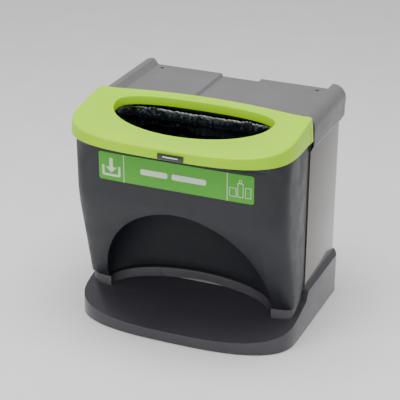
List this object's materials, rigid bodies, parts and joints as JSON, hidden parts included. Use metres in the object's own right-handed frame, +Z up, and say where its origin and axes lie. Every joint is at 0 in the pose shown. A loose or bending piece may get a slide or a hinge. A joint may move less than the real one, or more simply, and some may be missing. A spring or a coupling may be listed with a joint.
{
  "type": "recycling bin station",
  "caption": "Free-standing indoor recycling bin on a plinth, with a tilting front body, a lift-up lid with a D-shaped aperture, and a sack on a hoop over an inner bucket.",
  "frame": {"origin": "on the floor under the middle of the bin's bounding box", "axes": "+X to the bin's right side as seen from the front, +Y to the back, +Z up; the front faces -Y"},
  "size_m": [0.504, 0.458, 0.509],
  "materials": {
    "plinth_abs": "satin moulded",
    "black_polypropylene": "fine moulded grain",
    "zinc_steel": "zinc plated",
    "rubber": "matt",
    "gloss_grey_abs": "gloss moulded",
    "mid_grey_abs": "satin moulded",
    "black_screws": "black oxide",
    "slate_polypropylene": "satin moulded",
    "black_film": "wrinkled film",
    "green_label": "printed vinyl",
    "white_print": "printed",
    "lime_polypropylene": "satin moulded",
    "white_acetal": "machined",
    "black_badge": "gloss"
  },
  "bodies": {
    "base": {"plinth": "plinth_abs", "plinth_floor": "black_polypropylene", "plinth_floor_screws": "zinc_steel", "rubber_feet": "rubber", "housing": "gloss_grey_abs", "housing_screws": "zinc_steel", "roof_cap": "mid_grey_abs", "roof_screws": "black_screws", "rest_pads": "rubber", "tilt_stop_pegs": "zinc_steel", "pivot_lug_left": "zinc_steel", "pivot_lug_right": "zinc_steel", "tilt_pin_left": "zinc_steel", "tilt_pin_right": "zinc_steel"},
    "container": {"front_body": "slate_polypropylene", "top_rail": "black_polypropylene", "leg_fork_left": "black_polypropylene", "leg_fork_right": "black_polypropylene", "tilt_bushes_left": "white_acetal", "tilt_bushes_right": "white_acetal", "bucket": "black_polypropylene", "bucket_blocks": "black_polypropylene", "bucket_screws": "zinc_steel", "sack_hoop": "zinc_steel", "hoop_clips": "black_polypropylene", "sack": "black_film", "label": "green_label", "label_dividers": "white_print", "label_symbol": "white_print", "label_bars": "white_print", "label_icons": "white_print", "hinge_bracket_left": "zinc_steel", "hinge_bracket_right": "zinc_steel", "hinge_pin_left": "zinc_steel", "hinge_pin_right": "zinc_steel"},
    "lid_assembly": {"lid": "lime_polypropylene", "hinge_knuckle_left": "black_polypropylene", "hinge_knuckle_right": "black_polypropylene", "badge": "black_badge", "badge_bar": "white_print"}
  },
  "joints": [
    {"name": "container_tilt", "type": "hinge", "parent": "base", "child": "container", "pos_m": [0, -0.06055, 0.092], "axis": [1, 0, 0], "range_deg": [0, 16]},
    {"name": "lid_lift", "type": "hinge", "parent": "container", "child": "lid_assembly", "pos_m": [0, 0.0155, 0.5], "axis": [-1, 0, 0], "range_deg": [0, 75]}
  ]
}
